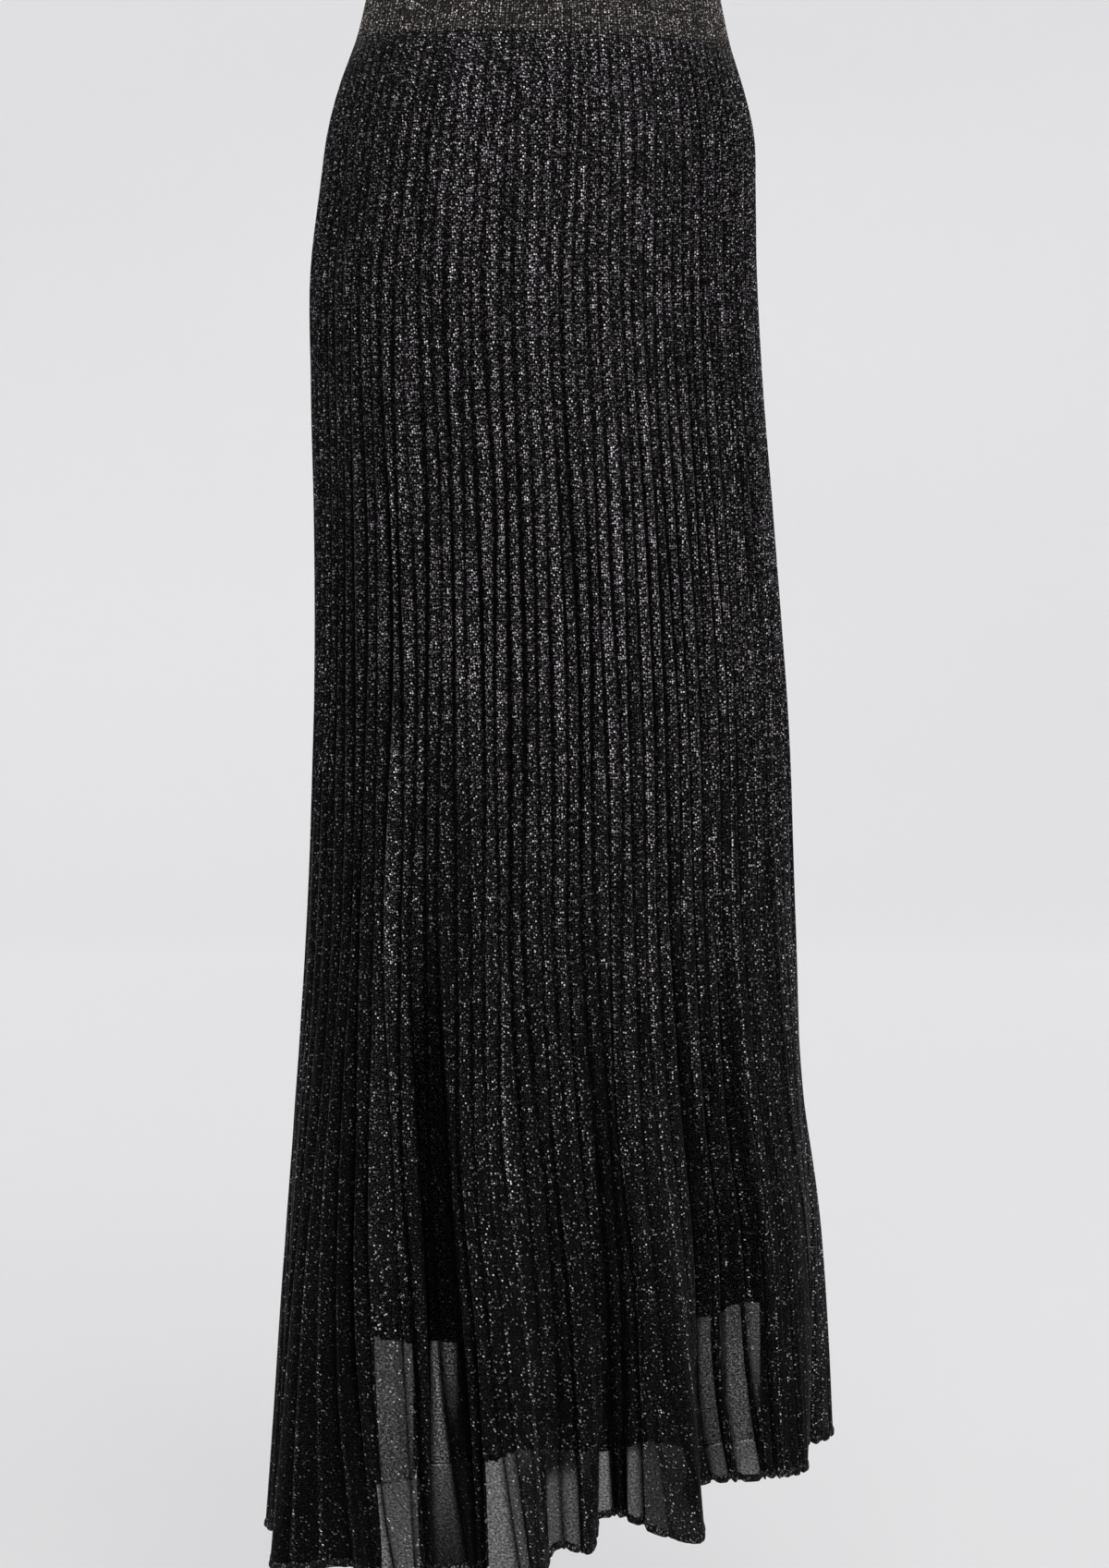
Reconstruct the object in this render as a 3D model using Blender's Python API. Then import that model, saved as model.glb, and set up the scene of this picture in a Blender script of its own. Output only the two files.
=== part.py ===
"""A worn maxi skirt in pleated knit: front and back panel, waistband and two lining pieces.

Metres, +Z up. The origin is the middle of the waist opening, at the top of the waistband.
The front faces -Y and the wearer's left is +X. A turn is an angle round the body in degrees:
0 at the front middle, 90 at the wearer's left side seam, -90 at the right side seam.
"""
from collections import namedtuple

import bpy
import numpy as np

# Driving sizes
LENGTH = 1.062
BAND_HEIGHT = 0.040
LINING_LENGTH = 0.910
PLEATS_PER_PANEL = 50
SEAM_GAP = 0.0003
CLOTH_WALL = 0.0016
LINING_WALL = 0.0011
BAND_WALL = CLOTH_WALL + SEAM_GAP + LINING_WALL

# Large folds grow from this drop to the hem
FOLD_START = 0.58
FOLD_GROWTH = 2.4

# On the sharpest crest of a fold a pleat keeps this share of its depth
SHARPEST_PLEAT = 0.25

# Mesh density
PANEL_DROPS = (0.066, 0.094, 0.138, 0.190, 0.290, 0.400, 0.512, 0.610, 0.690, 0.760,
               0.825, 0.885, 0.945, 1.005)
LINING_DROPS = (0.066, 0.094, 0.138, 0.190, 0.352, 0.512, 0.715)
DENSE_POINTS = 1441
LINING_SPANS = 24
BAND_SPANS = 60
BAND_ROWS = 4

# The figure: half width and half depths of the pleat crests at each drop below the waist,
# the sideways shift of their middle, and how deep the pleats are there
Section = namedtuple("Section", "drop half_width front back shift pleat")
SECTIONS = (
    Section(0.000, 0.126, 0.088, 0.092, 0.0000, 0.0000),
    Section(0.040, 0.136, 0.094, 0.102, 0.0000, 0.0000),
    Section(0.066, 0.146, 0.100, 0.109, -0.0005, 0.0024),
    Section(0.094, 0.1545, 0.105, 0.115, -0.0010, 0.0036),
    Section(0.138, 0.1585, 0.109, 0.121, -0.0035, 0.0042),
    Section(0.190, 0.1625, 0.112, 0.124, -0.0065, 0.0045),
    Section(0.270, 0.1655, 0.114, 0.124, -0.0045, 0.0047),
    Section(0.352, 0.1690, 0.116, 0.124, 0.0005, 0.0048),
    Section(0.512, 0.1775, 0.121, 0.126, 0.0070, 0.0050),
    Section(0.641, 0.1835, 0.125, 0.128, 0.0070, 0.0052),
    Section(0.772, 0.1950, 0.130, 0.132, 0.0065, 0.0056),
    Section(0.870, 0.2075, 0.135, 0.136, 0.0100, 0.0060),
    Section(0.970, 0.2150, 0.139, 0.140, 0.0105, 0.0064),
    Section(LENGTH, 0.2195, 0.142, 0.143, 0.0085, 0.0066),
)

# The lining hangs inside the pleat crests by this much at each drop
Inset = namedtuple("Inset", "drop inset")
LINING_INSETS = (
    Inset(0.040, CLOTH_WALL + SEAM_GAP),
    Inset(0.066, 0.0065),
    Inset(0.094, 0.0080),
    Inset(0.190, 0.0085),
    Inset(0.352, 0.0100),
    Inset(0.512, 0.0140),
    Inset(0.715, 0.0240),
    Inset(LINING_LENGTH, 0.0390),
)

# Crests and troughs of the large folds, right round the hem: where each lies at the hem and
# where it starts, how far it stands out, and how far it lifts the hem
Fold = namedtuple("Fold", "hem_turn start_turn out lift")
FOLDS = (
    Fold(-172, -172, 0.006, 0.000),
    Fold(-160, -162, -0.034, 0.006),
    Fold(-147, -148, 0.006, 0.000),
    Fold(-134, -135, -0.030, 0.006),
    Fold(-121, -120, 0.006, 0.000),
    Fold(-106, -106, -0.020, 0.004),
    Fold(-86, -92, 0.010, -0.002),
    Fold(-66, -70, -0.012, 0.004),
    Fold(-54, -60, 0.010, 0.000),
    Fold(-41, -46, -0.026, 0.003),
    Fold(-26, -34, 0.010, -0.002),
    Fold(-17, -28, -0.034, 0.010),
    Fold(-12, -22, -0.022, 0.008),
    Fold(-5, -16, -0.052, 0.022),
    Fold(9, -8, -0.004, 0.009),
    Fold(20, 4, -0.060, 0.028),
    Fold(50, 38, -0.014, 0.026),
    Fold(67, 64, -0.046, 0.026),
    Fold(85, 82, 0.008, 0.027),
    Fold(102, 102, -0.020, 0.016),
    Fold(115, 114, 0.008, 0.006),
    Fold(127, 126, -0.032, 0.008),
    Fold(140, 140, 0.008, 0.000),
    Fold(153, 154, -0.036, 0.006),
    Fold(166, 167, 0.008, 0.000),
    Fold(177, 177, -0.022, 0.004),
)

CLOTH_COLOUR = (0.012, 0.012, 0.013, 1.0)
LINING_COLOUR = (0.004, 0.004, 0.004, 1.0)


def curve_through(rows, column, drop):
    """The value of a column at a drop, on a smooth curve through the table's rows."""
    drops = [row.drop for row in rows]
    values = [getattr(row, column) for row in rows]
    slopes = np.gradient(values, drops)
    index = int(np.clip(np.searchsorted(drops, drop) - 1, 0, len(rows) - 2))
    span = drops[index + 1] - drops[index]
    t = (drop - drops[index]) / span
    start = (1 + 2 * t) * (1 - t) ** 2 * values[index] + t * (1 - t) ** 2 * span * slopes[index]
    end = t * t * (3 - 2 * t) * values[index + 1] - t * t * (1 - t) * span * slopes[index + 1]
    return start + end


def fold_growth(drop):
    """How much of a large fold is there at a drop: 0 where it starts, 1 at the hem."""
    progress = (drop - FOLD_START) / (LENGTH - FOLD_START)
    return max(progress, 0.0) ** FOLD_GROWTH


def fold_values(column, turns, drop):
    """A column of the fold table at each turn, eased from each crest to the next trough."""
    progress = min(max((drop - FOLD_START) / (LENGTH - FOLD_START), 0.0), 1.0)
    places = np.array([row.start_turn + (row.hem_turn - row.start_turn) * progress
                       for row in FOLDS])
    values = np.array([getattr(row, column) for row in FOLDS])
    places = np.concatenate((places - 360, places, places + 360))
    values = np.tile(values, 3)
    index = np.clip(np.searchsorted(places, turns) - 1, 0, len(places) - 2)
    t = (turns - places[index]) / (places[index + 1] - places[index])
    ease = t * t * (3 - 2 * t)
    return (values[index] * (1 - ease) + values[index + 1] * ease) * fold_growth(drop)


def ring(turns, drop, inset=0.0):
    """Points (x, y) of the figure at a drop, and the outward directions there."""
    half_width = curve_through(SECTIONS, "half_width", drop) - inset
    front = curve_through(SECTIONS, "front", drop) - inset
    back = curve_through(SECTIONS, "back", drop) - inset
    shift = curve_through(SECTIONS, "shift", drop)
    sine = np.sin(np.radians(turns))
    cosine = np.cos(np.radians(turns))
    depth = np.where(cosine >= 0, front, back)
    points = np.stack((shift + half_width * sine, -depth * cosine), axis=1)
    outward = np.stack((sine / half_width, -cosine / depth), axis=1)
    return points, outward / np.linalg.norm(outward, axis=1)[:, None]


def even_steps(points, count):
    """Positions along a dense line that split its length into equal steps."""
    lengths = np.concatenate(([0.0], np.cumsum(np.linalg.norm(np.diff(points, axis=0), axis=1))))
    wanted = np.linspace(SEAM_GAP / 2, lengths[-1] - SEAM_GAP / 2, count)
    return np.interp(wanted, lengths, np.arange(len(points)))


def pick(values, steps):
    """Values of a dense line at fractional positions."""
    places = np.arange(len(values))
    if values.ndim == 1:
        return np.interp(steps, places, values)
    return np.stack([np.interp(steps, places, column) for column in values.T], axis=1)


def line_normals(points):
    """Directions square to a line, out of the body as it runs from turn to turn."""
    along = np.gradient(points, axis=0)
    along /= np.linalg.norm(along, axis=1)[:, None]
    return np.stack((along[:, 1], -along[:, 0]), axis=1)


def straightness(normals):
    """1 where a row runs straight, less where it turns sharply and its pleats open out."""
    turning = np.ones(len(normals))
    turning[1:-1] = np.sum(normals[:-2] * normals[2:], axis=1)
    return np.clip(turning, SHARPEST_PLEAT, 1.0)


def pleated_row(first_turn, last_turn, drop):
    """One row of a panel: its outer points, a valley and a crest by turns, and their normals."""
    turns = np.linspace(first_turn, last_turn, DENSE_POINTS)
    points, outward = ring(turns, drop)
    points = points + outward * fold_values("out", turns, drop)[:, None]
    heights = -drop + fold_values("lift", turns, drop)
    steps = even_steps(points, 2 * PLEATS_PER_PANEL + 1)
    line = pick(points, steps)
    normals = line_normals(line)
    normals[[0, -1]] = line_normals(points)[[0, -1]]
    valley = np.arange(2 * PLEATS_PER_PANEL + 1) % 2 == 0
    depth = curve_through(SECTIONS, "pleat", drop) * valley * straightness(normals)
    row = line - normals * depth[:, None]
    return np.column_stack((row, pick(heights, steps))), normals


def plain_row(first_turn, last_turn, drop, inset):
    """One row of a lining piece: its outer points and their normals."""
    turns = np.linspace(first_turn, last_turn, DENSE_POINTS)
    points, outward = ring(turns, drop, inset)
    steps = even_steps(points, LINING_SPANS + 1)
    heights = np.full(LINING_SPANS + 1, -drop)
    return np.column_stack((pick(points, steps), heights)), pick(outward, steps)


def band_row(drop):
    """One closed row of the waistband: its outer points and their normals."""
    turns = np.linspace(-180, 180, BAND_SPANS, endpoint=False)
    points, outward = ring(turns, drop)
    return np.column_stack((points, np.full(BAND_SPANS, -drop))), outward


def material(name, colour, roughness, metallic):
    """A plain Principled material."""
    made = bpy.data.materials.new(name)
    made.use_nodes = True
    shader = made.node_tree.nodes["Principled BSDF"]
    shader.inputs["Base Color"].default_value = colour
    shader.inputs["Roughness"].default_value = roughness
    shader.inputs["Metallic"].default_value = metallic
    return made


def wall(name, rows, thickness, finish, collection, closed=False):
    """A cloth wall lofted between unlike rows, thickened level and inwards.

    Its top and hem edges stay level, so that it meets the piece above it face to face.
    """
    count = len(rows[0][0])
    outer = np.concatenate([points for points, _ in rows])
    inwards = np.concatenate([np.column_stack((normals, np.zeros(count)))
                              for _, normals in rows])
    inner = outer - inwards * thickness
    behind = len(outer)
    last_row = (len(rows) - 1) * count
    faces = []
    for column in range(count if closed else count - 1):
        beside = (column + 1) % count
        for row in range(0, last_row, count):
            face = (row + column, row + count + column, row + count + beside, row + beside)
            faces.append(face)
            faces.append(tuple(behind + corner for corner in reversed(face)))
        faces.append((column, beside, behind + beside, behind + column))
        faces.append((last_row + beside, last_row + column,
                      behind + last_row + column, behind + last_row + beside))
    if not closed:
        for row in range(0, last_row, count):
            faces.append((row, behind + row, behind + row + count, row + count))
            edge = row + count - 1
            faces.append((edge, edge + count, behind + edge + count, behind + edge))
    mesh = bpy.data.meshes.new(name)
    mesh.from_pydata(np.concatenate((outer, inner)).tolist(), [], faces)
    mesh.validate()
    piece = bpy.data.objects.new(name, mesh)
    piece.data.materials.append(finish)
    collection.objects.link(piece)
    return piece


def make_panel(name, first_turn, last_turn, finish, collection):
    """A pleated panel, from just under the waistband to the hem."""
    drops = (BAND_HEIGHT + SEAM_GAP,) + PANEL_DROPS + (LENGTH,)
    rows = [pleated_row(first_turn, last_turn, drop) for drop in drops]
    return wall(name, rows, CLOTH_WALL, finish, collection)


def make_lining(name, first_turn, last_turn, finish, collection):
    """A lining piece, from just under the waistband to its own hem."""
    drops = (BAND_HEIGHT + SEAM_GAP,) + LINING_DROPS + (LINING_LENGTH,)
    rows = [plain_row(first_turn, last_turn, drop, curve_through(LINING_INSETS, "inset", drop))
            for drop in drops]
    return wall(name, rows, LINING_WALL, finish, collection)


def make_waistband(finish, collection):
    """The waistband, one closed band."""
    rows = [band_row(drop) for drop in np.linspace(0.0, BAND_HEIGHT, BAND_ROWS)]
    return wall("waistband", rows, BAND_WALL, finish, collection, closed=True)


def main():
    for item in list(bpy.data.objects):
        bpy.data.objects.remove(item, do_unlink=True)
    skirt = bpy.data.collections.new("pleated_skirt")
    bpy.context.scene.collection.children.link(skirt)
    knit = material("metallic_knit", CLOTH_COLOUR, roughness=0.55, metallic=0.3)
    jersey = material("lining_jersey", LINING_COLOUR, roughness=0.9, metallic=0.0)
    make_waistband(knit, skirt)
    make_panel("front_panel", -90, 90, knit, skirt)
    make_panel("back_panel", 90, 270, knit, skirt)
    make_lining("lining_front", -90, 90, jersey, skirt)
    make_lining("lining_back", 90, 270, jersey, skirt)


main()
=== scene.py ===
"""The looks of the pleated maxi skirt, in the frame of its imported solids.

Metres, +Z up. The front faces -Y and the wearer's left is +X. A turn is an angle in degrees
round the upright axis: 0 at the front middle, 90 at the wearer's left side seam. A drop is a
depth below the top of the waistband.
"""

import math
from collections import namedtuple

import bpy
import numpy as np
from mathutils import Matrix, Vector


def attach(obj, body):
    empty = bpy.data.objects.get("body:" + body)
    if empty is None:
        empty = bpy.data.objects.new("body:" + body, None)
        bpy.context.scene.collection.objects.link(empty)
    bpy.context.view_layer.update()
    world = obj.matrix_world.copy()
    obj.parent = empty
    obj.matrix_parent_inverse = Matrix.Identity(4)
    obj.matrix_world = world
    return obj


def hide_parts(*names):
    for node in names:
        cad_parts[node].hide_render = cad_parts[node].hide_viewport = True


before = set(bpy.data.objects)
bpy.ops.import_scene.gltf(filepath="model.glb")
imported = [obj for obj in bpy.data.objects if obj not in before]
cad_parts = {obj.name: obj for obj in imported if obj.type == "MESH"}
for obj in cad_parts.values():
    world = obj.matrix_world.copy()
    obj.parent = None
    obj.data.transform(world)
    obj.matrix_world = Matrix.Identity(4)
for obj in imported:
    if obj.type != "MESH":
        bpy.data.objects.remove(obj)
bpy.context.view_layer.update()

# Driving sizes, as in the solids
LENGTH = 1.062
BAND_HEIGHT = 0.040
LINING_LENGTH = 0.910
PLEATS_PER_PANEL = 50
SEAM_GAP = 0.0003
BAND_WALL = 0.0030
FOLD_START = 0.58
FOLD_GROWTH = 2.4
SHARPEST_PLEAT = 0.25

# The outline of the pleat crests at each drop, as in the solids: its half width and half
# depths, the sideways shift of its middle, and how deep the pleats are there
Section = namedtuple("Section", "drop half_width front back shift pleat")
SECTIONS = (
    Section(0.000, 0.126, 0.088, 0.092, 0.0000, 0.0000),
    Section(0.040, 0.136, 0.094, 0.102, 0.0000, 0.0000),
    Section(0.066, 0.146, 0.100, 0.109, -0.0005, 0.0024),
    Section(0.094, 0.1545, 0.105, 0.115, -0.0010, 0.0036),
    Section(0.138, 0.1585, 0.109, 0.121, -0.0035, 0.0042),
    Section(0.190, 0.1625, 0.112, 0.124, -0.0065, 0.0045),
    Section(0.270, 0.1655, 0.114, 0.124, -0.0045, 0.0047),
    Section(0.352, 0.1690, 0.116, 0.124, 0.0005, 0.0048),
    Section(0.512, 0.1775, 0.121, 0.126, 0.0070, 0.0050),
    Section(0.641, 0.1835, 0.125, 0.128, 0.0070, 0.0052),
    Section(0.772, 0.1950, 0.130, 0.132, 0.0065, 0.0056),
    Section(0.870, 0.2075, 0.135, 0.136, 0.0100, 0.0060),
    Section(0.970, 0.2150, 0.139, 0.140, 0.0105, 0.0064),
    Section(LENGTH, 0.2195, 0.142, 0.143, 0.0085, 0.0066),
)

# The lining hangs inside the pleat crests by this much
Inset = namedtuple("Inset", "drop inset")
LINING_INSETS = (
    Inset(0.040, 0.0019),
    Inset(0.066, 0.0065),
    Inset(0.094, 0.0080),
    Inset(0.190, 0.0088),
    Inset(0.352, 0.0104),
    Inset(0.512, 0.0148),
    Inset(0.715, 0.0250),
    Inset(LINING_LENGTH, 0.0410),
)

# Crests and troughs of the large folds, as in the solids
Fold = namedtuple("Fold", "hem_turn start_turn out lift")
FOLDS = (
    Fold(-172, -172, 0.006, 0.000),
    Fold(-160, -162, -0.034, 0.006),
    Fold(-147, -148, 0.006, 0.000),
    Fold(-134, -135, -0.030, 0.006),
    Fold(-121, -120, 0.006, 0.000),
    Fold(-106, -106, -0.020, 0.004),
    Fold(-86, -92, 0.010, -0.002),
    Fold(-66, -70, -0.012, 0.004),
    Fold(-54, -60, 0.010, 0.000),
    Fold(-41, -46, -0.026, 0.003),
    Fold(-26, -34, 0.010, -0.002),
    Fold(-17, -28, -0.034, 0.010),
    Fold(-12, -22, -0.022, 0.008),
    Fold(-5, -16, -0.052, 0.022),
    Fold(9, -8, -0.004, 0.009),
    Fold(20, 4, -0.060, 0.028),
    Fold(50, 38, -0.014, 0.026),
    Fold(67, 64, -0.046, 0.026),
    Fold(85, 82, 0.008, 0.027),
    Fold(102, 102, -0.020, 0.016),
    Fold(115, 114, 0.008, 0.006),
    Fold(127, 126, -0.032, 0.008),
    Fold(140, 140, 0.008, 0.000),
    Fold(153, 154, -0.036, 0.006),
    Fold(166, 167, 0.008, 0.000),
    Fold(177, 177, -0.022, 0.004),
)

# The pleat lines of a panel: where each lies at the lining's hem and at the hem, counted in even
# pleats from the panel's first seam, how deep it is low down, and how many flecks the cloth
# after it shows there, which is partly the flecks' own spread and partly painted shade and light:
# dark bands of fold shadow, a darker wearer's right and a lighter wearer's left
Line = namedtuple("Line", "middle hem depth flecks")
FRONT_LINES = (
    Line(0.00, 0.00, 1.0, 0.32),
    Line(1.30, 1.60, 0.6, 0.32),
    Line(2.60, 3.10, 0.3, 0.30),
    Line(3.80, 4.80, 0.8, 0.22),
    Line(5.00, 6.90, 1.6, 0.45),
    Line(6.35, 8.20, 1.1, 1.08),
    Line(8.70, 9.55, 0.7, 1.00),
    Line(9.55, 10.25, 1.2, 0.65),
    Line(10.45, 10.60, 1.3, 0.10),
    Line(11.00, 12.20, 0.8, 0.08),
    Line(12.20, 12.75, 1.5, 0.60),
    Line(12.95, 13.10, 1.1, 0.98),
    Line(13.95, 15.30, 0.7, 0.95),
    Line(14.90, 16.00, 0.6, 0.80),
    Line(16.00, 17.10, 0.5, 0.80),
    Line(17.60, 18.60, 0.9, 0.85),
    Line(18.80, 19.95, 0.8, 0.80),
    Line(19.70, 20.75, 1.1, 0.66),
    Line(20.95, 22.20, 0.5, 0.74),
    Line(22.05, 23.45, 1.3, 0.60),
    Line(22.90, 24.45, 1.2, 0.40),
    Line(23.70, 24.90, 1.1, 0.72),
    Line(24.35, 25.85, 1.0, 0.74),
    Line(25.05, 27.30, 0.3, 1.15),
    Line(25.85, 29.60, 0.6, 0.58),
    Line(27.40, 31.20, 0.3, 0.80),
    Line(29.00, 32.80, 0.6, 0.72),
    Line(30.50, 35.20, 1.1, 0.35),
    Line(31.95, 36.10, 0.8, 1.00),
    Line(32.55, 36.45, 0.6, 0.35),
    Line(34.05, 37.70, 0.6, 1.00),
    Line(34.25, 37.95, 0.8, 0.35),
    Line(35.90, 38.50, 0.8, 0.70),
    Line(36.40, 38.80, 0.2, 0.55),
    Line(37.20, 39.40, 0.3, 0.50),
    Line(38.00, 40.05, 0.9, 0.45),
    Line(38.80, 40.65, 0.2, 0.42),
    Line(39.60, 41.25, 0.2, 0.42),
    Line(40.40, 41.85, 1.2, 0.50),
    Line(41.20, 42.55, 0.2, 0.60),
    Line(42.00, 43.25, 0.4, 0.85),
    Line(42.80, 43.95, 0.9, 1.02),
    Line(43.60, 44.65, 0.2, 1.15),
    Line(44.40, 45.35, 0.3, 1.18),
    Line(45.15, 46.05, 0.2, 1.18),
    Line(45.95, 46.75, 0.8, 1.18),
    Line(46.75, 47.45, 0.2, 1.18),
    Line(47.55, 48.15, 0.4, 1.15),
    Line(48.35, 48.80, 0.2, 1.10),
    Line(49.20, 49.40, 0.4, 1.05),
    Line(50.00, 50.00, 1.0, 1.00),
)
BACK_LINES = (
    Line(0.00, 0.00, 1.0, 1.0),
    Line(1.10, 1.20, 0.6, 1.0),
    Line(2.20, 2.35, 1.2, 0.8),
    Line(3.20, 3.30, 0.5, 1.0),
    Line(4.15, 4.15, 0.3, 0.9),
    Line(5.35, 5.35, 0.4, 0.8),
    Line(7.05, 7.05, 0.5, 0.9),
    Line(8.75, 8.80, 0.9, 1.0),
    Line(9.60, 9.80, 0.5, 1.1),
    Line(10.50, 10.80, 0.8, 0.9),
    Line(11.40, 11.70, 1.5, 0.4),
    Line(12.35, 12.50, 1.3, 0.9),
    Line(13.25, 13.40, 0.5, 1.0),
    Line(14.20, 14.40, 0.8, 1.0),
    Line(15.10, 15.50, 0.4, 0.9),
    Line(16.00, 16.40, 1.4, 0.5),
    Line(16.90, 17.20, 1.2, 1.0),
    Line(17.80, 18.10, 0.6, 1.0),
    Line(18.70, 19.00, 0.9, 0.8),
    Line(19.60, 19.80, 1.5, 0.4),
    Line(20.50, 20.60, 1.3, 1.0),
    Line(21.40, 21.60, 0.5, 1.0),
    Line(22.30, 22.60, 0.8, 1.1),
    Line(23.20, 23.60, 0.4, 0.9),
    Line(24.20, 24.60, 1.3, 0.6),
    Line(25.20, 25.40, 1.1, 0.9),
    Line(26.15, 26.15, 1.0, 0.3),
    Line(27.85, 27.85, 0.5, 0.9),
    Line(28.85, 28.85, 0.4, 0.9),
    Line(30.40, 30.60, 0.3, 0.9),
    Line(32.10, 32.30, 0.3, 0.9),
    Line(33.90, 33.90, 0.9, 0.8),
    Line(34.75, 34.90, 0.6, 1.0),
    Line(35.60, 35.90, 1.4, 0.5),
    Line(36.45, 36.70, 1.2, 1.0),
    Line(37.30, 37.60, 0.5, 1.0),
    Line(38.15, 38.60, 0.7, 1.1),
    Line(39.00, 39.40, 1.5, 0.4),
    Line(39.85, 40.10, 1.2, 0.9),
    Line(40.70, 40.90, 0.5, 1.0),
    Line(41.55, 41.80, 0.8, 0.9),
    Line(42.40, 42.70, 0.4, 1.0),
    Line(43.20, 43.50, 1.4, 0.4),
    Line(44.05, 44.30, 1.0, 0.6),
    Line(44.90, 45.20, 0.5, 0.6),
    Line(45.75, 46.00, 0.9, 0.6),
    Line(46.60, 46.80, 1.3, 0.5),
    Line(47.45, 47.60, 0.8, 0.6),
    Line(48.30, 48.40, 0.5, 0.7),
    Line(49.15, 49.20, 0.8, 0.6),
    Line(50.00, 50.00, 1.0, 0.6),
)

# The sheer stretches: after which pleat line, the share of light that passes from which drop, the
# share from a lower drop on, reached over how long, and, where they differ, the share at the hem
# and the share just above the lower drop
Sheer = namedtuple("Sheer", "line clear start hem_clear hem_start hem_ease end_clear near_clear",
                   defaults=(0.014, None, None))
FRONT_SHEERS = (
    Sheer(4, 0.03, 0.80, 0.42, 0.990),
    Sheer(5, 0.515, 0.80, 0.275, 0.9917, 0.002, 0.335, 0.69),
    Sheer(6, 0.50, 0.80, 0.265, 0.9917, 0.002, 0.325, 0.66),
    Sheer(8, 0.67, 0.62, 0.29, 0.9864, 0.002, 0.10, 0.88),
    Sheer(9, 0.48, 0.62, 0.05, 0.950, 0.060),
    Sheer(11, 0.21, 0.72, 0.42, 0.970),
    Sheer(12, 0.23, 0.72, 0.27, 0.972),
    Sheer(13, 0.17, 0.72, 0.08, 0.980),
    Sheer(14, 0.12, 0.72, 0.08, 0.980),
    Sheer(15, 0.08, 0.66, 0.30, 1.002),
    Sheer(16, 0.10, 0.72, 0.31, 1.002),
    Sheer(17, 0.10, 0.72, 0.05, 1.000),
    Sheer(19, 0.18, 0.66, 0.42, 0.978),
    Sheer(21, 0.08, 0.66, 0.33, 1.000),
    Sheer(22, 0.14, 0.70, 0.18, 1.000),
    Sheer(23, 0.12, 0.72, 0.09, 1.000),
    Sheer(27, 0.46, 0.62, 0.22, 1.0273, 0.002, 0.27, 0.60),
    Sheer(29, 0.45, 0.62, 0.285, 1.0267, 0.002, 0.38, 0.76),
    Sheer(31, 0.56, 0.62, 0.05, 0.990, 0.070),
    Sheer(43, 0.12, 0.72, 0.12, 1.000),
)
BACK_SHEERS = (
    Sheer(4, 0.47, 0.62, 0.35, 1.021, 0.082),
    Sheer(5, 0.49, 0.62, 0.36, 1.021, 0.082),
    Sheer(6, 0.46, 0.62, 0.34, 1.021, 0.082),
    Sheer(10, 0.10, 0.70, 0.10, 1.00),
    Sheer(13, 0.14, 0.70, 0.14, 1.00),
    Sheer(15, 0.10, 0.66, 0.12, 1.00),
    Sheer(19, 0.16, 0.66, 0.16, 1.00),
    Sheer(22, 0.14, 0.70, 0.14, 1.00),
    Sheer(26, 0.49, 0.62, 0.36, 1.021, 0.082),
    Sheer(28, 0.48, 0.80, 0.36, 1.021, 0.082),
    Sheer(29, 0.49, 0.80, 0.36, 1.021, 0.082),
    Sheer(30, 0.48, 0.80, 0.36, 1.021, 0.082),
    Sheer(33, 0.18, 0.66, 0.22, 1.00),
    Sheer(37, 0.20, 0.66, 0.24, 1.00),
    Sheer(38, 0.14, 0.70, 0.16, 1.00),
    Sheer(42, 0.18, 0.66, 0.22, 1.00),
    Sheer(46, 0.14, 0.70, 0.16, 1.00),
)

# How much of its flecks a pleat shows about half way down, counted from the panel's first seam:
# partly the flecks' own spread and partly painted shade and light across the panel
Middle = namedtuple("Middle", "pleat share")
MIDDLES = (
    Middle(5, 1.00),
    Middle(6, 1.30),
    Middle(8, 1.30),
    Middle(9, 0.60),
    Middle(11, 0.58),
    Middle(12, 1.05),
    Middle(20, 1.00),
    Middle(22, 0.80),
    Middle(24, 0.84),
    Middle(27, 0.90),
    Middle(29, 1.00),
    Middle(31, 0.95),
    Middle(32, 0.64),
    Middle(35, 0.64),
    Middle(36, 0.88),
    Middle(50, 0.88),
)

# How much of the flecks of the upper cloth shows at a turn: this is painted shade, deep at the
# wearer's right and slight at the wearer's left, where less light falls
SideShade = namedtuple("SideShade", "turn share")
SIDE_SHADES = (
    SideShade(-180, 1.00),
    SideShade(-142, 1.00),
    SideShade(-118, 0.46),
    SideShade(-78, 0.42),
    SideShade(-66, 0.86),
    SideShade(-56, 0.70),
    SideShade(-46, 1.05),
    SideShade(-4, 1.05),
    SideShade(16, 0.75),
    SideShade(100, 0.75),
    SideShade(150, 1.00),
    SideShade(180, 1.00),
)

# Drops of note: the top of the hanging cloth, where its pleat lines start to run together, and
# from where on they look wholly as tabled
CLOTH_TOP = BAND_HEIGHT + SEAM_GAP
LINES_START = 0.60
LINES_TABLED = 0.86

# The rows of a panel: from which drop, to which drop, and how many. They are closest where the
# light that passes the cloth changes
PANEL_BANDS = ((CLOTH_TOP, LINES_START, 44), (LINES_START, 0.979, 34), (0.979, 0.997, 12),
               (0.997, 1.021, 2), (1.021, 1.033, 8), (1.033, LENGTH, 3))

# Points along a line at a drop, before the points of the cloth are placed on it
DENSE_POINTS = 2881

# The knit: its wall, the share of light that passes where it is dense, how far down a sheer
# stretch takes to grow clear, where the points lie from one pleat line to the next, and which of
# them carries the painted crease highlight
CLOTH_WALL = 0.0009
DENSE_CLEAR = 0.02
SHEER_GROWTH = 0.10
PLEAT_STEPS = (0.0, 0.07, 0.19, 0.34, 0.5, 0.66, 0.81, 0.93)
CREASE_HIGHLIGHT_STEP = 2

# The pleats: how far a valley reaches to each side high up and low down, over which drops that
# changes, and how sharp a valley is
VALLEY_REACH = 0.0052
LOW_VALLEY_REACH = 0.0036
VALLEY_CHANGE = (0.44, 0.70)
VALLEY_SHARPNESS = 1.5

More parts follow.
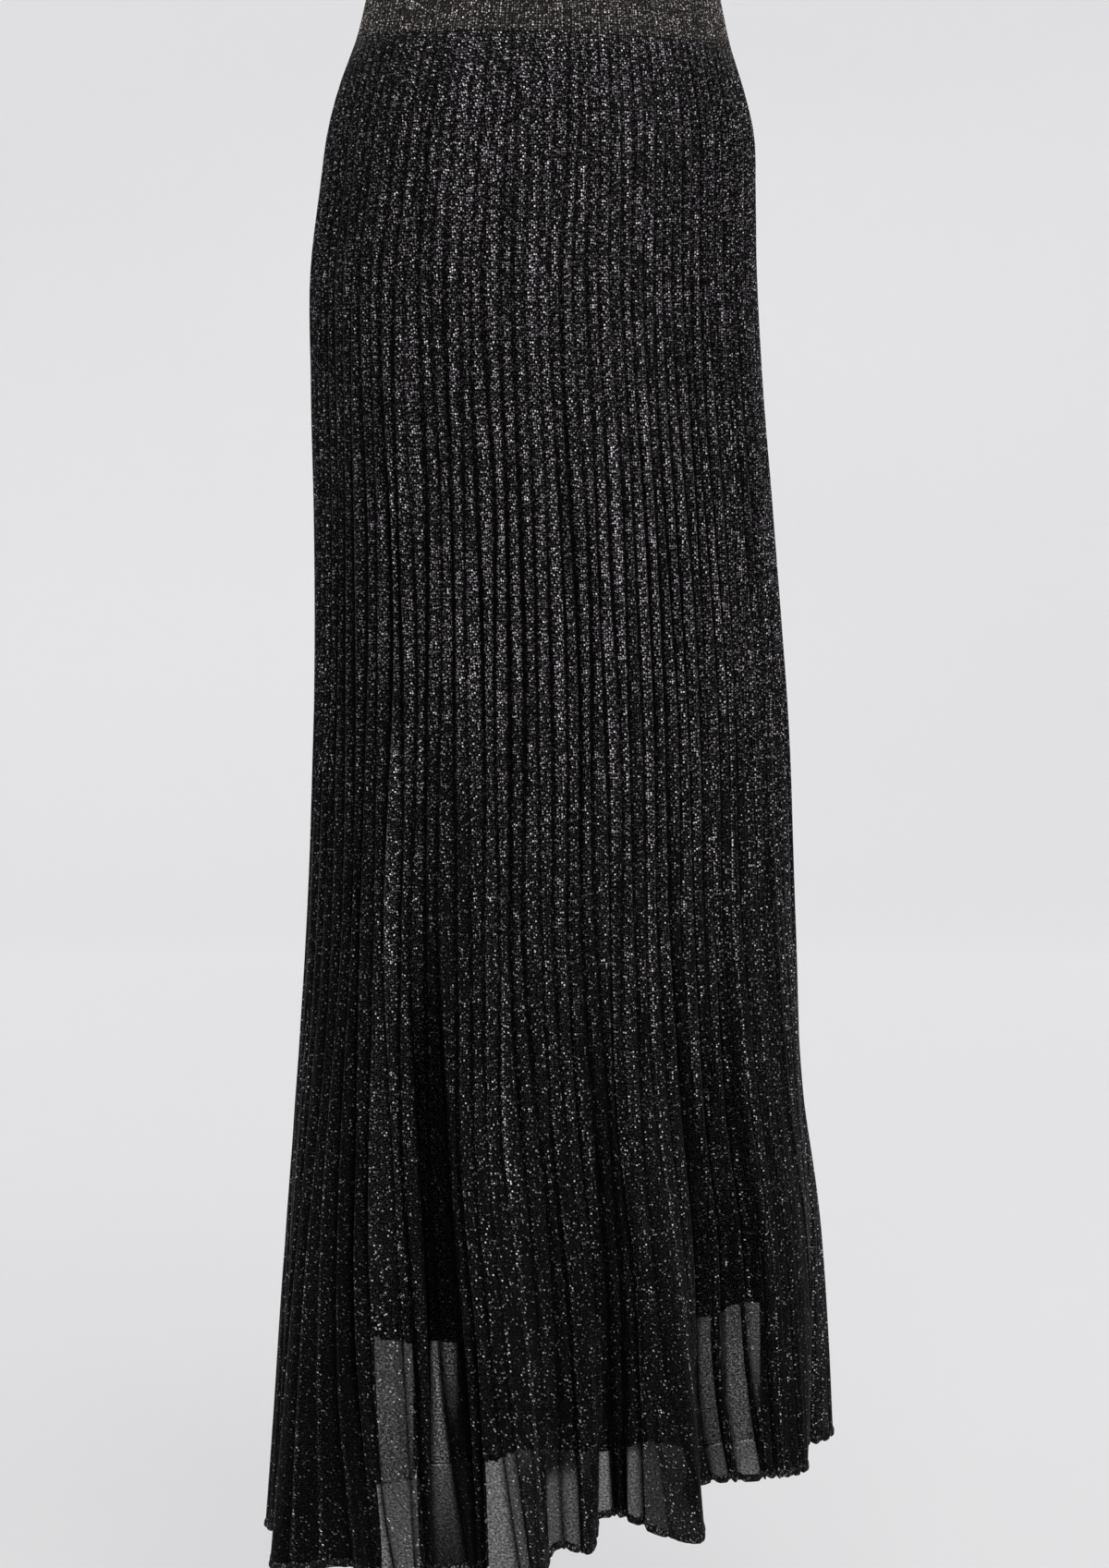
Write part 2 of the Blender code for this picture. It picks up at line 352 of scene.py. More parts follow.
# How the pleats differ: in depth, in flecks by drop, in place as a part of a pleat, and how much
# depth and flecks change on the way down
DEPTH_SPREAD = (0.72, 1.22)
SHADE_SPREAD = ((0.12, 0.34, 0.46, 0.62), (0.12, 0.42, 0.42, 0.22))
LINE_STRAY = 0.27
UNEVENNESS = 0.25

# The drops over which the flecks become those of the line tables, and over which the shares of
# MIDDLES come in and go out again
FLECKS_CHANGE = (0.54, 0.76)
MIDDLE_RISE = (0.42, 0.56)
MIDDLE_FALL = (0.66, 0.82)

# How deep the soft dip between two valleys is, how much higher the hem lies at a valley, how much
# it waves between two, and how far above the hem this starts
SOFT_DIP = 0.0007
VALLEY_RISE = 0.0022
HEM_WAVE = 0.0016
HEM_ZONE = 0.05

# The edging: the pitch of its threads, of its points along the hem and of its rows round it, how
# much a thread swells it, and its outline as distances aside and up. It turns clear where the
# cloth above lets this share of light through
EDGE_THREAD = 0.0028
EDGE_SPACING = 0.0007
EDGE_ROW = 0.0014
EDGE_SWELL = 0.35
EDGE_PROFILE = ((0.0003, 0.0056), (0.0009, 0.0048), (0.0012, 0.0024), (0.0009, 0.0004),
                (0.0000, -0.0005), (-0.0009, 0.0004), (-0.0012, 0.0024), (-0.0009, 0.0048),
                (-0.0003, 0.0056))
EDGE_CLEARS = (0.24, 0.32)

# The lining: its wall, its points across, its even rows and how high above its hem they end, how
# high its hem is turned and stitched, the heights of the rows there, and its wrinkles as a number
# across and a lean
LINING_WALL = 0.0007
LINING_POINTS = 241
LINING_ROWS = 84
LINING_PLAIN_END = 0.030
LINING_TURN = 0.0205
LINING_STITCH = 0.019
LINING_HEM_ROWS = (0.024, LINING_TURN, LINING_STITCH, 0.0175, 0.012, 0.006, 0.0015, 0.0)
LINING_WRINKLES = ((9, 0.8), (14, -0.6), (23, 1.1), (37, -1.4))

# The waistband: its ribs, the way round it when opened out, the height that its rolled edge adds,
# the rows of each side and where they end, and the rolled edge as drops and insets
RIBS = 300
POINTS_PER_RIB = 6
RIB_DEPTH = 0.00055
BAND_GIRTH = 0.76
BAND_ROWS = 12
ROLL_START = 0.0022
BAND_ROLL_ROWS = ((0.0011, 0.00025), (0.0003, 0.0008), (0.0, BAND_WALL / 2),
                  (0.0003, BAND_WALL - 0.0008), (0.0011, BAND_WALL - 0.00025))

# The bake layout of a shell: the size and corner of its outer and inner side, and its rims
OUTER_BAKE = ((0.800, -0.965), (0.002, 0.967))
INNER_BAKE = ((0.160, -0.965), (0.836, 0.967))
RIM_BAKE = 0.006

# Cells of the patterns on the cloth, across and down
FLECK_CELL = (0.0016, 0.0016)
PATCH_CELL = (0.005, 0.045)
GRAIN_CELL = (0.0017, 0.0013)
JERSEY_LOOP = (0.0011, 0.0009)
JERSEY_PATCH = (0.03, 0.05)

# The view of the photo: the bearing and pitch of the camera in degrees, the focal length and the
# height of the photo in pixels, the sensor in millimetres, and where the camera stands: away from
# the skirt, to the right, and its level
VIEW_AZIMUTH = -30.0
VIEW_PITCH = 5.94
PHOTO_FOCAL = 3925
PHOTO_HEIGHT = 1697
SENSOR = 36.0
CAMERA_AWAY = 2.5
CAMERA_ASIDE = 0.0051
CAMERA_LEVEL = -0.283

# The studio: a floor that curves up into a round wall, and its paint, darker near the middle
FLOOR_LEVEL = -1.30
FLOOR_RADIUS = 4.6
CURVE_RADIUS = 2.4
CURVE_STEPS = 12
WALL_HEIGHT = 4.2
STUDIO_SIDES = 96
PAINT_REACH = (1.6, 4.4)

# Soft lamps: where each stands toward the camera, to its right and up, its size and power, and
# where it points, toward the camera and up
Lamp = namedtuple("Lamp", "name back right high size power target_back target_high")
LAMPS = (
    Lamp("key", 2.6, 0.5, 1.6, 2.2, 36.0, 0.0, -0.5),
    Lamp("wall", -0.4, 0.0, 2.6, 3.0, 40.0, -2.2, -0.6),
)

# A pleated panel from seam to seam; the last value is how clear its edging is at a sheer stretch
Panel = namedtuple("Panel", "name first_turn last_turn seed lines sheers edge_clear")


def curve_through(rows, column, drop):
    """The value of a column at a drop, on a smooth curve through the table's rows."""
    drops = [row.drop for row in rows]
    values = [getattr(row, column) for row in rows]
    slopes = np.gradient(values, drops)
    index = int(np.clip(np.searchsorted(drops, drop) - 1, 0, len(rows) - 2))
    span = drops[index + 1] - drops[index]
    t = (drop - drops[index]) / span
    start = (1 + 2 * t) * (1 - t) ** 2 * values[index] + t * (1 - t) ** 2 * span * slopes[index]
    end = t * t * (3 - 2 * t) * values[index + 1] - t * t * (1 - t) * span * slopes[index + 1]
    return start + end


def ease(low, high, value):
    """0 below low, 1 above high, and a smooth step between."""
    t = np.clip((value - low) / (high - low), 0.0, 1.0)
    return t * t * (3 - 2 * t)


def fold_growth(drop):
    """How much of a large fold is there at a drop: 0 where it starts, 1 at the hem."""
    progress = (drop - FOLD_START) / (LENGTH - FOLD_START)
    return max(progress, 0.0) ** FOLD_GROWTH


def fold_values(column, turns, drop):
    """A column of the fold table at each turn, eased from each crest to the next trough."""
    progress = min(max((drop - FOLD_START) / (LENGTH - FOLD_START), 0.0), 1.0)
    places = np.array([row.start_turn + (row.hem_turn - row.start_turn) * progress
                       for row in FOLDS])
    values = np.array([getattr(row, column) for row in FOLDS])
    places = np.concatenate((places - 360, places, places + 360))
    values = np.tile(values, 3)
    index = np.clip(np.searchsorted(places, turns) - 1, 0, len(places) - 2)
    t = (turns - places[index]) / (places[index + 1] - places[index])
    smooth = t * t * (3 - 2 * t)
    return (values[index] * (1 - smooth) + values[index + 1] * smooth) * fold_growth(drop)


def ring(turns, drop, inset=0.0):
    """Points (x, y) of the skirt's outline at a drop, and the outward directions there."""
    half_width = curve_through(SECTIONS, "half_width", drop) - inset
    front = curve_through(SECTIONS, "front", drop) - inset
    back = curve_through(SECTIONS, "back", drop) - inset
    shift = curve_through(SECTIONS, "shift", drop)
    sine = np.sin(np.radians(turns))
    cosine = np.cos(np.radians(turns))
    depth = np.where(cosine >= 0, front, back)
    points = np.stack((shift + half_width * sine, -depth * cosine), axis=1)
    outward = np.stack((sine / half_width, -cosine / depth), axis=1)
    return points, outward / np.linalg.norm(outward, axis=1)[:, None]


def run_lengths(points):
    """Distance along a line at each of its points."""
    return np.concatenate(([0.0], np.cumsum(np.linalg.norm(np.diff(points, axis=0), axis=1))))


def spread(wanted, lengths, values):
    """Rows of values, given along a line, at the wanted distances along it."""
    return np.stack([np.interp(wanted, lengths, column) for column in values.T], axis=1)


def wander(seed, count, drop, wavelength):
    """Slow seeded noise, from -1 to 1, for each of a number of lines at a drop."""
    rng = np.random.default_rng(seed)
    phase = rng.uniform(0, 2 * np.pi, (3, count))
    pace = rng.uniform(0.6, 1.5, (3, count))
    waves = np.sin(2 * np.pi * drop / wavelength * pace + phase)
    return (waves * np.array([[0.5], [0.3], [0.2]])).sum(axis=0)


def line_places(lines, drop):
    """Where each pleat line lies at a drop, in even pleats: even at the top, then as tabled."""
    even = np.arange(len(lines), dtype=float)
    middle = np.array([row.middle for row in lines])
    hem = np.array([row.hem for row in lines])
    if drop <= LINES_START:
        return even
    run = (hem - even) / (LENGTH - LINES_START)
    if drop <= LINING_LENGTH:
        span = LINING_LENGTH - LINES_START
        t = (drop - LINES_START) / span
        return (even * (1 + 2 * t) * (1 - t) ** 2 + middle * t * t * (3 - 2 * t)
                - t * t * (1 - t) * span * run)
    span = LENGTH - LINING_LENGTH
    t = min((drop - LINING_LENGTH) / span, 1.0)
    return (middle * (1 + 2 * t) * (1 - t) ** 2 + t * (1 - t) ** 2 * span * run
            + hem * t * t * (3 - 2 * t) - t * t * (1 - t) * (hem - middle))


def clearness(panel, drop):
    """The share of light that the cloth after each pleat line lets through at a drop."""
    clear = np.full(len(panel.lines), DENSE_CLEAR)
    for row in panel.sheers:
        end = row.hem_clear if row.end_clear is None else row.end_clear
        near = row.clear if row.near_clear is None else row.near_clear
        reached = row.hem_start + row.hem_ease / 2
        low = row.clear + (near - row.clear) * np.clip(
            (drop - LINING_LENGTH) / (row.hem_start - LINING_LENGTH), 0.0, 1.0)
        low += (row.hem_clear - low) * ease(row.hem_start - row.hem_ease / 2, reached, drop)
        low += (end - row.hem_clear) * np.clip((drop - reached) / (LENGTH - reached), 0.0, 1.0)
        clear[row.line] += (low - DENSE_CLEAR) * ease(row.start, row.start + SHEER_GROWTH, drop)
    return clear


def upper_side_shade(panel):
    """The share of its flecks that each pleat shows high up, as the painted shade of the sides."""
    turns = np.linspace(panel.first_turn, panel.last_turn, PLEATS_PER_PANEL + 1)
    turns = (turns + 180) % 360 - 180
    return np.interp(turns, [row.turn for row in SIDE_SHADES], [row.share for row in SIDE_SHADES])


def middle_shade_and_flecks():
    """The share of its flecks that each pleat shows about half way down, partly painted shade and
    light.
    """
    return np.interp(np.arange(PLEATS_PER_PANEL + 1), [row.pleat for row in MIDDLES],
                     [row.share for row in MIDDLES])


def pleat_draws(panel, drop):
    """How deep each pleat is, how strong its painted crease highlight and how shaded it is high up,
    by seeded draws.
    """
    count = PLEATS_PER_PANEL + 1
    rng = np.random.default_rng(panel.seed + 5)
    strength = rng.uniform(*DEPTH_SPREAD, count) * (0.80 + 0.20 * ease(0.14, 0.42, drop))
    crease_highlight = rng.uniform(0.0, 1.0, count) ** 1.6
    shade = 1 + rng.uniform(-1.0, 1.0, count) * np.interp(drop, *SHADE_SPREAD)
    return strength, crease_highlight, shade


def pleat_flecks(panel, drop, shade, tabled):
    """How many flecks the cloth after each pleat line shows at a drop, with painted shade and light
    across the panel in it.
    """
    low_flecks_and_shade = np.array([row.flecks for row in panel.lines])
    lower = ease(*FLECKS_CHANGE, drop)
    # Painted shade: the side shade high up gives way to the tables' fold shadows and side light low
    # down
    flecks = (shade + (1 - shade) * tabled) * (upper_side_shade(panel) * (1 - lower) + low_flecks_and_shade * lower)
    flecks *= 1 + UNEVENNESS * wander(panel.seed + 3, PLEATS_PER_PANEL + 1, drop, 0.35)
    # Partly painted shade and light, about half way down
    flecks *= 1 + (middle_shade_and_flecks() - 1) * ease(*MIDDLE_RISE, drop) * (1 - ease(*MIDDLE_FALL, drop))
    return flecks


def square_directions(line, outward, hop):
    """Level directions square to a row of points, and how straight the row runs at each."""
    reach = hop // 2
    padded = np.concatenate((line[:1].repeat(reach, 0), line, line[-1:].repeat(reach, 0)))
    along = padded[2 * reach:] - padded[:-2 * reach]
    along /= np.linalg.norm(along, axis=1)[:, None]
    normals = np.stack((along[:, 1], -along[:, 0]), axis=1)
    normals[0] = outward[0]
    normals[-1] = outward[-1]
    turning = np.ones(len(normals))
    turning[reach:-reach] = np.sum(normals[:-hop] * normals[hop:], axis=1)
    return normals, np.clip(turning, SHARPEST_PLEAT, 1.0)


def pleat_row(panel, drop):
    """One row of a pleated panel at a drop: its points, level normals and looks."""
    turns = np.linspace(panel.first_turn, panel.last_turn, DENSE_POINTS)
    base, outward = ring(turns, drop)
    base = base + outward * fold_values("out", turns, drop)[:, None]
    heights = -drop + fold_values("lift", turns, drop)
    lengths = run_lengths(base)
    total = lengths[-1] - SEAM_GAP

    count = PLEATS_PER_PANEL
    tabled = float(ease(LINES_START, LINES_TABLED, drop))
    strength, crease_highlight, shade = pleat_draws(panel, drop)
    stray = wander(panel.seed, count + 1, drop, 0.45) * LINE_STRAY / count
    stray[[0, -1]] = 0
    valleys = line_places(panel.lines, drop) / count + stray * (1 - 0.75 * ease(0.76, 0.90, drop))

    hop = len(PLEAT_STEPS)
    shares = valleys[:-1, None] + np.array(PLEAT_STEPS) * np.diff(valleys)[:, None]
    shares = np.append(shares.ravel(), 1.0)
    wanted = SEAM_GAP / 2 + shares * total
    line = spread(wanted, lengths, base)
    height = np.interp(wanted, lengths, heights)
    normals, flat = square_directions(line, outward, hop)

    low_depth = np.array([row.depth for row in panel.lines])
    uneven = strength * (1 - tabled) + low_depth * tabled
    changing = 1 + UNEVENNESS * wander(panel.seed + 1, count + 1, drop, 0.5)
    uneven = np.clip(uneven * changing, 0.1, 1.8)
    uneven[[0, -1]] = 1
    depth = curve_through(SECTIONS, "pleat", drop) * uneven

    column = np.arange(len(wanted))
    which = np.minimum(column // hop, count - 1)
    gaps = np.diff(valleys)[which]
    width = gaps * total
    place = np.where(column == count * hop, 1.0, (shares - valleys[which]) / gaps)
    near = np.minimum(place, 1 - place) * width
    reached = VALLEY_REACH + (LOW_VALLEY_REACH - VALLEY_REACH) * ease(*VALLEY_CHANGE, drop)
    reached = np.minimum(reached, width / 2)
    valley = np.clip(1 - near / reached, 0, 1) ** VALLEY_SHARPNESS
    bulge = np.sin(np.pi * np.clip(place, 0, 1))
    inwards = valley * (depth[which] * (1 - place) + depth[which + 1] * place) * flat
    dip = SOFT_DIP * (1 + wander(panel.seed + 2, count, drop, 0.5))[which]
    inwards = inwards + dip * bulge * ease(0.05, 0.12, drop)
    row = line - normals * inwards[:, None]
    # Painted shade: dark dims the flecks in the pleat valleys through the crest value; it also thins
    # the light that the cloth lets through there
    dark = valley * np.clip((uneven[which] * (1 - place) + uneven[which + 1] * place) * 1.1, 0, 1)
    rise = VALLEY_RISE * valley
    rise = rise + HEM_WAVE * wander(panel.seed + 4, count, drop, 0.5)[which] * bulge
    height = height + rise * ease(LENGTH - HEM_ZONE, LENGTH, drop) * (0 < place) * (place < 1)

    opened = run_lengths(row)
    looks = {
        "crest": 1 - dark,
        # Painted highlight: a bright line of flecks along one column of some pleats
        "crease_highlight": crease_highlight[which] * (column % hop == CREASE_HIGHLIGHT_STEP) * ease(0.25, 0.65, drop),
        "flecks": pleat_flecks(panel, drop, shade, tabled)[which],
        "clear": clearness(panel, drop)[which] * (1 - dark) ** 0.7,
        "drop": np.full(len(row), drop),
        "cloth": np.column_stack((opened - opened[len(opened) // 2], np.full(len(row), -drop))),
    }
    return np.column_stack((row, height)), normals, looks


def build_mesh(name, points, faces, layers, attributes, collection):
    """A mesh object from faces, with UV layers given per corner and values given per point."""
    mesh = bpy.data.meshes.new(name)
    mesh.from_pydata(points.tolist(), [], faces)
    for layer, values in layers.items():
        made = mesh.uv_layers.new(name=layer)
        made.data.foreach_set("uv", values.astype(np.float32).ravel())
    for attribute_name, values in attributes.items():
        made = mesh.attributes.new(attribute_name, "FLOAT", "POINT")
        made.data.foreach_set("value", values.astype(np.float32))
    mesh.shade_smooth()
    piece = bpy.data.objects.new(name, mesh)
    collection.objects.link(piece)
    return piece


def grid_faces(rows, columns, start):
    """Quads of a grid of points, row by row."""
    index = start + np.arange(rows * columns).reshape(rows, columns)
    return np.stack((index[:-1, :-1], index[1:, :-1], index[1:, 1:], index[:-1, 1:]),
                    axis=-1).reshape(-1, 4)


def rim_bake(u, v, aside):
    """The bake places of a rim's two sides, for each point along it."""
    near = np.stack(np.broadcast_arrays(u, v), axis=-1)
    return np.stack((near, near + np.array(aside)), axis=1)


def rim_faces(edge, total, flip, places):
    """Quads that join both sides of a shell along an edge, and the bake places of their corners."""
    here, there = edge[:-1], edge[1:]
    quads = np.stack((here, there, there + total, here + total), axis=-1)
    bake = np.stack((places[:-1, 0], places[1:, 0], places[1:, 1], places[:-1, 1]), axis=1)
    return (quads[:, ::-1], bake[:, ::-1]) if flip else (quads, bake)


def shell(name, outer, inner, looks, collection):
    """A thin closed shell between two grids of points, with a bake layout and cloth layers."""
    rows, columns = outer.shape[:2]
    total = rows * columns
    points = np.concatenate((outer.reshape(-1, 3), inner.reshape(-1, 3)))
    front = grid_faces(rows, columns, 0)
    back = grid_faces(rows, columns, total)[:, ::-1]
    levels = outer[:, :, 2].mean(axis=1)
    down = (levels[0] - levels) / (levels[0] - levels[-1])
    across = np.linspace(0, 1, columns)
    grid = np.stack(np.meshgrid(across, down), axis=-1).reshape(-1, 2)
    point_bake = np.concatenate([grid * size + corner for size, corner in (OUTER_BAKE, INNER_BAKE)])

    top = np.arange(columns)
    bottom = top + (rows - 1) * columns
    left = np.arange(rows) * columns
    right = left + columns - 1
    along = 0.966 - 0.96 * down
    rims = (rim_faces(top, total, False, rim_bake(across, 0.972, (0, RIM_BAKE))),
            rim_faces(bottom, total, True, rim_bake(across, 0.982, (0, RIM_BAKE))),
            rim_faces(left, total, True, rim_bake(0.808, along, (RIM_BAKE, 0))),
            rim_faces(right, total, False, rim_bake(0.821, along, (RIM_BAKE, 0))))
    faces = np.concatenate((front, back, *(quads for quads, _ in rims)))
    bake = np.concatenate((point_bake[front], point_bake[back], *(places for _, places in rims)))
    cloth = np.tile(looks["cloth"].reshape(-1, 2), (2, 1))[faces].reshape(-1, 2)
    attributes = {key: np.tile(values.ravel(), 2)
                  for key, values in looks.items() if key != "cloth"}
    return build_mesh(name, points, faces.tolist(), {"OFBake": bake.reshape(-1, 2),
                                                     "cloth": cloth}, attributes, collection)


def tube_corners(rows, columns, place):
    """A pair of values for each corner of a tube's quads, from the corner's column and row."""
    v, u = np.meshgrid(np.arange(rows), np.arange(columns), indexing="ij")
    corners = ((u, v), (u, v + 1), (u + 1, v + 1), (u + 1, v))
    return np.stack([np.stack(place(a, b), axis=-1) for a, b in corners], axis=2).reshape(-1, 2)


def flat_cut(outer, drops):
    """The widest row, the length and the area of a piece of cloth with its pleats opened."""
    widths = np.array([run_lengths(row[:, :2])[-1] for row in outer])
    area = float(np.sum((widths[1:] + widths[:-1]) / 2 * np.diff(drops)))
    return float(widths.max()), float(drops[-1] - drops[0]), area


def pleated_panel(panel, collection):
    """A pleated panel as thin worn cloth, and the facts of its hem line and flat cut."""
    drops = np.concatenate([np.linspace(low, high, count, endpoint=False)
                            for low, high, count in PANEL_BANDS] + [[LENGTH]])
    outer, inner, looks = [], [], {}
    for drop in drops:
        points, normals, row_looks = pleat_row(panel, drop)
        outer.append(points)
        inner.append(points - np.column_stack((normals, np.zeros(len(normals)))) * CLOTH_WALL)
        for key, values in row_looks.items():
            looks.setdefault(key, []).append(values)
    outer = np.array(outer)
    inner = np.array(inner)
    looks = {key: np.array(values) for key, values in looks.items()}
    piece = shell(panel.name, outer, inner, looks, collection)
    hem = (outer[-1], inner[-1], outer[-2], looks["clear"][-1])
    return piece, hem, flat_cut(outer, drops)


def hem_edging(name, hem, edge_clear, collection):
    """The overlocked hem edge: a narrow bound strip that follows the pleats."""
    outer, inner, above, clear = hem
    middle = (outer + inner) / 2
    lengths = run_lengths(middle)
    wanted = np.linspace(0, lengths[-1], int(lengths[-1] / EDGE_SPACING))
    aside = (outer - inner) / np.linalg.norm(outer - inner, axis=1)[:, None]
    upward = (above - outer) / np.linalg.norm(above - outer, axis=1)[:, None]
    line = spread(wanted, lengths, middle)
    aside = spread(wanted, lengths, aside)
    upward = spread(wanted, lengths, upward)
    thread = 0.5 + 0.5 * np.cos(2 * np.pi * wanted / EDGE_THREAD)
    through = edge_clear * ease(*EDGE_CLEARS, np.interp(wanted, lengths, clear))
    points = []
    for index, (out, high) in enumerate(EDGE_PROFILE):
        swell = 1 + EDGE_SWELL * thread * (0 < index < len(EDGE_PROFILE) - 1)
        points.append(line + aside * (out * swell)[:, None] + upward * high)
    points = np.array(points)

    rows, columns = points.shape[:2]
    index = np.arange(rows * columns).reshape(rows, columns)
    below = np.roll(index, -1, axis=0)
    faces = np.stack((index[:, :-1], below[:, :-1], below[:, 1:], index[:, 1:]),
                     axis=-1).reshape(-1, 4)
    ends = np.array([index[::-1, 0], index[:, -1]])
    around = np.arange(rows + 1) * EDGE_ROW
    bake = tube_corners(rows, columns - 1, lambda a, b: (a / columns, b / (rows + 2)))
    cloth = tube_corners(rows, columns - 1, lambda a, b: (wanted[a], around[b]))
    layers = {"OFBake": np.concatenate((bake, np.full((2 * rows, 2), 0.99))),
              "cloth": np.concatenate((cloth, np.zeros((2 * rows, 2))))}
    return build_mesh(name, points.reshape(-1, 3), faces.tolist() + ends.tolist(), layers,
                      {"clear": np.tile(through, rows)}, collection)


def lining_piece(name, first_turn, last_turn, seed, collection):
    """A lining piece as thin jersey with soft wrinkles and a turned hem."""
    plain = LINING_LENGTH - LINING_PLAIN_END - CLOTH_TOP
    drops = np.concatenate((CLOTH_TOP + plain * np.linspace(0, 1, LINING_ROWS),
                            LINING_LENGTH - np.array(LINING_HEM_ROWS)))
    turns = np.linspace(first_turn, last_turn, DENSE_POINTS)
    share = np.linspace(0, 1, LINING_POINTS)
    ends = ease(0, 0.04, share) * ease(0, 0.04, 1 - share)
    outer, inner, cloth = [], [], []
    for drop in drops:
        base, outward = ring(turns, drop, curve_through(LINING_INSETS, "inset", drop))
        lengths = run_lengths(base)
        wanted = np.linspace(SEAM_GAP / 2, lengths[-1] - SEAM_GAP / 2, LINING_POINTS)
        line = spread(wanted, lengths, base)
        normal = spread(wanted, lengths, outward)
        waves = np.zeros(LINING_POINTS)
        for index, (count, lean) in enumerate(LINING_WRINKLES):
            phase = 2 * np.pi * (count * share + lean * drop) + seed + 2.1 * index
            waves += np.sin(phase) / (1 + 0.6 * index)
        grow = 0.0004 + 0.0030 * ease(0.30, 0.90, drop)
        line = line + normal * (waves * ends * grow * ease(0.05, 0.12, drop) - grow)[:, None]
        turned = LINING_LENGTH - drop < LINING_TURN
        stitch = abs(LINING_LENGTH - drop - LINING_STITCH) < 0.0002
        wall = LINING_WALL * (2.0 if turned and not stitch else 1.0)
        rolled = 0.5 if drop > LINING_LENGTH - 0.0005 else 1.0
        level = np.full(LINING_POINTS, -drop)
        middle = line - normal * LINING_WALL * 0.5
        outer.append(np.column_stack((middle + normal * wall * 0.5 * rolled, level)))
        inner.append(np.column_stack((middle - normal * wall * 0.5 * rolled, level)))
        cloth.append(np.column_stack((wanted - wanted[LINING_POINTS // 2], level)))
    outer = np.array(outer)
    piece = shell(name, outer, np.array(inner), {"cloth": np.array(cloth)}, collection)
    return piece, flat_cut(outer, drops)


def waistband(collection):
    """The ribbed waistband, a closed band with a rolled top edge."""
    columns = RIBS * POINTS_PER_RIB
    turns = np.linspace(-180, 180, DENSE_POINTS)
    share = np.arange(columns) / columns
    ridge = np.abs(np.sin(np.pi * RIBS * share)) ** 0.8
    profile = [(drop, 0.0) for drop in np.linspace(BAND_HEIGHT, ROLL_START, BAND_ROWS)]
    profile += BAND_ROLL_ROWS
    profile += [(drop, BAND_WALL) for drop in np.linspace(ROLL_START, BAND_HEIGHT, BAND_ROWS)]
    points = []
    for drop, inset in profile:
        base, outward = ring(turns, drop, inset)
        lengths = run_lengths(base)
        wanted = share * lengths[-1]
        side = np.sign(BAND_WALL / 2 - inset)
        sink = RIB_DEPTH * (1 - ridge) * side
        line = spread(wanted, lengths, base) - spread(wanted, lengths, outward) * sink[:, None]
        points.append(np.column_stack((line, np.full(columns, -drop))))
    points = np.array(points)

    rows = len(profile)
    index = np.arange(rows * columns).reshape(rows, columns)
    below = np.roll(index, -1, axis=0)
    faces = np.stack((index, below, np.roll(below, -1, axis=1), np.roll(index, -1, axis=1)),
                     axis=-1).reshape(-1, 4)
    run = run_lengths(np.array(profile))
    run = np.append(run, run[-1] + 0.001)
    bake = tube_corners(rows, columns, lambda a, b: (a / columns, b / rows))
    cloth = tube_corners(rows, columns, lambda a, b: (a / columns * BAND_GIRTH, -run[b]))
    # The crest value lets the material paint shade into the grooves between the ribs
    attributes = {"crest": np.tile(ridge, rows), "clear": np.zeros(rows * columns),
                  "drop": -points[:, :, 2].ravel()}
    return build_mesh("waistband_rib", points.reshape(-1, 3), faces.tolist(),
                      {"OFBake": bake * 0.998 + 0.001, "cloth": cloth}, attributes, collection)


def node(tree, kind, settings=None, inputs=None):
    """A shader node with its settings; a socket given as an input is linked to it."""
    made = tree.nodes.new(kind)
    for key, value in (settings or {}).items():
        setattr(made, key, value)
    for key, value in (inputs or {}).items():
        if isinstance(value, bpy.types.NodeSocket):
            tree.links.new(value, made.inputs[key])
        else:
            made.inputs[key].default_value = value
    return made


def maths(tree, operation, *values):
    """The output of a Math node."""
    made = node(tree, "ShaderNodeMath", {"operation": operation}, dict(enumerate(values)))
    return made.outputs[0]


def remap(tree, value, from_low, from_high, to_low, to_high, kind="SMOOTHSTEP"):
    """The output of a clamped Map Range node."""
    made = node(tree, "ShaderNodeMapRange", {"interpolation_type": kind},
                {"Value": value, "From Min": from_low, "From Max": from_high,
                 "To Min": to_low, "To Max": to_high})
    return made.outputs["Result"]


def blend(tree, factor, first, second):
    """The colour output of a Mix node."""
    made = node(tree, "ShaderNodeMix", {"data_type": "RGBA"},
                {0: factor, 6: first, 7: second})
    return made.outputs[2]


def grey(value, warmth=0.0):
    """A near neutral colour, warmer for a positive warmth."""
    return (value * (1 + warmth), value, value * (1 - warmth), 1.0)


def tinted(value):
    """The silver of the knit, a little toward violet."""
    return (value * 1.035, value * 0.985, value, 1.0)


def violet(value):
    """The silver of the flecks that lean to violet."""
    return (value * 1.08, value * 0.94, value * 1.08, 1.0)


def warm(value):
    """The silver of the waistband, a little warmer."""
    return (value * 1.07, value * 0.97, value * 0.93, 1.0)


def new_material(name):
    """An empty node material with a Principled shader."""
    made = bpy.data.materials.new(name)
    made.use_nodes = True
    tree = made.node_tree
    return made, tree, tree.nodes["Principled BSDF"]


def scaled(tree, cell):
    """Cloth coordinates, counted in cells of the given size."""
    uv = node(tree, "ShaderNodeUVMap", {"uv_map": "cloth"}).outputs[0]
    made = node(tree, "ShaderNodeVectorMath", {"operation": "MULTIPLY"},
                {0: uv, 1: (1 / cell[0], 1 / cell[1], 1.0)})
    return made.outputs[0]


def noise(tree, cell, detail):
    """The value of a flat noise on the cloth."""
    return node(tree, "ShaderNodeTexNoise", {"noise_dimensions": "2D"},
                {"Vector": scaled(tree, cell), "Scale": 1.0, "Detail": detail}).outputs[0]


def cells(tree, cell, randomness):
    """A flat pattern of random cells on the cloth."""
    return node(tree, "ShaderNodeTexVoronoi", {"voronoi_dimensions": "2D"},
                {"Vector": scaled(tree, cell), "Scale": 1.0, "Randomness": randomness})


